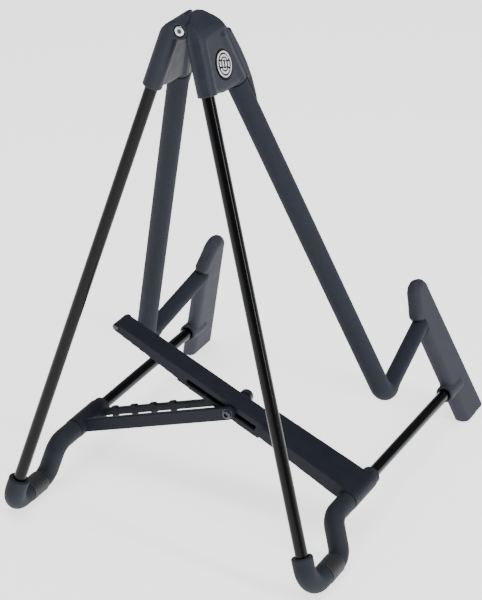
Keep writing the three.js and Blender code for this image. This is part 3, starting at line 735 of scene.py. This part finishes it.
class STAND_OT_brace(bpy.types.Operator):
    """Brace beam with its sleeve, bushes, fork and latch pin"""
    bl_idname = "stand.brace"
    bl_label = "Brace"

    def execute(self, context):
        look = Shop.looks["brace"]
        # The lip closes the beam's skirt up to its sleeve.
        lip = block((71.4, -7.9, -5.9), (76, 7.9, 3.5))
        finish_object("brace_beam_moulded", softened("brace_beam", BEAM, 0.4, 3, adds=[lip]), look, "beam",
                      ["brace_beam"], 50)
        # The web lies across the channel just below the slot. It is near black: painted shade in the channel.
        web = place_mesh(block((74, -5.6, -3.4), (136, 5.6, -2.3)), BEAM)
        finish_object("brace_beam_web_painted_shade", web, Shop.looks["dark"], "beam")
        finish_object("brace_hub_moulded", softened("brace_hub", BEAM, 0.42, 4), look, "beam",
                      ["brace_hub"], 50)
        finish_object("brace_fork_moulded", softened("brace_fork", FORK, 0.4, 3), look, "fork",
                      ["brace_fork"], 50)
        collar = [(0, 5.2), (0.2, 5.4), (32.3, 5.4), (32.3, 5.9), (32.6, 6.2), (37, 6.2), (37.5, 5.7),
                  (37.5, 4.5), (36, 4.4)]
        for name, matrix, body in (("brace_bush", BEAM, "beam"), ("fork_bush", FORK, "fork")):
            mesh = turned(matrix, (0, -16, 0), (0, 21.5, 0), collar)
            finish_object(f"{name}_collar", mesh, Shop.looks["foot"], body, [name])
        latch = [(0, 1.2), (0.1, 1.7), (0.4, 2), (17.8, 2), (18, 1.8)]
        pin = turned(BEAM, (189.3, -8.6, 2.8), (189.3, 9.4, 2.8), latch)
        finish_object("latch_pin_turned", pin, Shop.looks["pin"], "beam", ["latch_pin"])
        self.screws()
        return {"FINISHED"}

    def screws(self):
        reach = 120.65  # the screws' place along the fork
        look = Shop.looks["pin"]
        rear = [(0, 2.2), (0.1, 2.5), (0.5, 2.85), (0.9, 2.9), (1.7, 2.9), (1.7, 3.5), (1.9, 3.6),
                (2.05, 3.5), (2.05, 2), (5.4, 2)]
        head = turned(FORK, (reach, -14.1, 0), (reach, -8.4, 0), rear)
        key = (FORK @ Matrix.Translation(Vector((reach, -14.1, 0)) * MM)
               @ Matrix.Rotation(math.radians(-90), 4, "X"))
        finish_object("fork_screw_rear_head", cut(head, [prism(hexagon(1.7), -1, 1.3, key)]), look, "fork",
                      ["fork_screw_rear"])
        dome = [(0, 2), (3.7, 2), (3.9, 4.4), (4.2, 4.7), (7.6, 4.7), (8.4, 4.4), (9.0, 3.7), (9.35, 2.4),
                (9.4, 1.2)]
        boss = turned(FORK, (reach, 8.4, 0), (reach, 17.8, 0), dome)
        finish_object("fork_screw_front_boss", boss, look, "fork", ["fork_screw_front"])


def area_light(name, place, target, size, power):
    data = bpy.data.lights.new(name, "AREA")
    data.shape = "RECTANGLE"
    data.size, data.size_y = size
    data.energy = power
    lamp = bpy.data.objects.new(name, data)
    bpy.context.scene.collection.objects.link(lamp)
    lamp.location = place
    lamp.rotation_euler = (Vector(target) - Vector(place)).to_track_quat("-Z", "Y").to_euler()


class STAND_OT_stage(bpy.types.Operator):
    """Pale floor, soft studio light and the camera"""
    bl_idname = "stand.stage"
    bl_label = "Stage"

    def execute(self, context):
        self.floor(context)
        self.light(context)
        self.camera(context)
        return {"FINISHED"}

    def floor(self, context):
        shape = bmesh.new()
        bmesh.ops.create_grid(shape, x_segments=8, y_segments=8, size=6)
        mesh = bpy.data.meshes.new("floor")
        shape.to_mesh(mesh)
        shape.free()
        mesh.materials.append(pale_floor("painted_board", context.scene.stand_colours.floor))
        floor = bpy.data.objects.new("floor", mesh)
        floor.location.z = -0.2 * MM  # just under the feet, so the two never share a plane
        context.scene.collection.objects.link(floor)

    def light(self, context):
        world = bpy.data.worlds.new("studio")
        world.use_nodes = True
        background = world.node_tree.nodes["Background"]
        background.inputs["Color"].default_value = (0.93, 0.96, 1.0, 1)
        background.inputs["Strength"].default_value = 0.3
        context.scene.world = world
        area_light("overhead", (-0.1, -0.1, 1.7), (0, 0, 0.1), (1.2, 1.2), 17)
        area_light("left_softbox", (-1.2, -0.9, 0.8), (0, 0, 0.15), (0.12, 1.3), 1.2)
        area_light("right_softbox", (1.3, -0.2, 0.8), (0, 0, 0.15), (0.16, 1.3), 14)

    def camera(self, context):
        data = bpy.data.cameras.new("camera")
        data.sensor_fit = "VERTICAL"
        data.sensor_height = 36  # mm
        data.lens = 137.76  # mm, a long portrait lens
        data.clip_end = 50
        camera = bpy.data.objects.new("camera", data)
        context.scene.collection.objects.link(camera)
        # The camera stands behind the right half and looks down. Its place is in the hinge's frame.
        ahead = LEVEL.to_3x3() @ Vector((-0.412, 0.7956, -0.4442)).normalized()
        right = LEVEL.to_3x3() @ Vector((0.888, 0.4599, 0)).normalized()
        up = right.cross(ahead)
        place = HINGE @ Vector((0.615, -1.109, 0.4538))
        camera.matrix_world = Matrix.Translation(place) @ Matrix((right, up, -ahead)).transposed().to_4x4()
        context.scene.camera = camera


# ---------------------------------------------------------------- panel and registration

PIECES = ("materials", "rods", "padding", "posts", "feet", "housings", "hinge", "emblem", "brace", "stage")


class STAND_PT_panel(bpy.types.Panel):
    """Lists the operators that build the stand"""
    bl_idname = "STAND_PT_panel"
    bl_label = "Guitar stand"
    bl_space_type = "VIEW_3D"
    bl_region_type = "UI"
    bl_category = "Stand"

    def draw(self, context):
        for piece in PIECES:
            self.layout.operator(f"stand.{piece}")
        for name in StandSizes.__annotations__:
            self.layout.prop(context.scene.stand_sizes, name)
        for name in StandColours.__annotations__:
            self.layout.prop(context.scene.stand_colours, name)


CLASSES = (StandSizes, StandColours, STAND_OT_materials, STAND_OT_rods, STAND_OT_padding, STAND_OT_posts,
           STAND_OT_feet, STAND_OT_housings, STAND_OT_hinge, STAND_OT_emblem, STAND_OT_brace, STAND_OT_stage,
           STAND_PT_panel)


def register():
    for item in CLASSES:
        bpy.utils.register_class(item)
    bpy.types.Scene.stand_sizes = bpy.props.PointerProperty(type=StandSizes)
    bpy.types.Scene.stand_colours = bpy.props.PointerProperty(type=StandColours)


def unregister():
    del bpy.types.Scene.stand_colours
    del bpy.types.Scene.stand_sizes
    for item in reversed(CLASSES):
        bpy.utils.unregister_class(item)


def main():
    register()
    for piece in PIECES:
        getattr(bpy.ops.stand, piece)()


if __name__ == "__main__":
    main()
